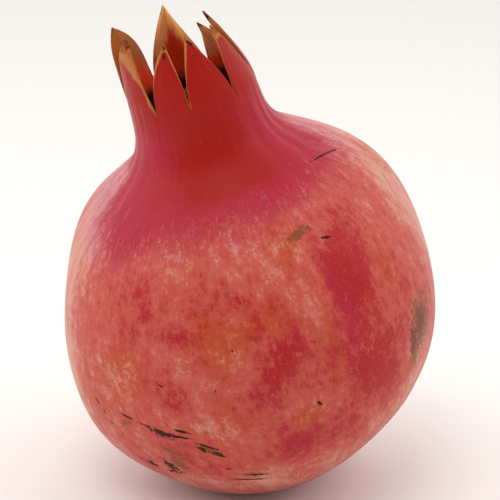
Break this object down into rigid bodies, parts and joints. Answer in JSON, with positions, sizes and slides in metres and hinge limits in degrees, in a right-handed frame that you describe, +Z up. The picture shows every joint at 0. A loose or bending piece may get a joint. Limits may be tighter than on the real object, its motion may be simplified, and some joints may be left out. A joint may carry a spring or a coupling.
{
  "type": "pomegranate",
  "caption": "Whole ripe pomegranate: a round, slightly faceted fruit leaning back on a small flat spot, with a dried open crown of pointed lobes around a cup of stamens.",
  "frame": {"origin": "centre of the small flat spot on which the fruit rests", "axes": "+Z up as the fruit rests; the crown leans towards -X and a little towards -Y, which is the front"},
  "size_m": [0.0839, 0.0842, 0.1108],
  "materials": {
    "rind": "satin, leathery fruit rind",
    "dried_stamens": "matte, dry plant fibre",
    "stem_wood": "matte, cut woody stem"
  },
  "bodies": {
    "root": {"fruit": "rind", "stamens": "dried_stamens", "stem_stub": "stem_wood"}
  },
  "joints": []
}
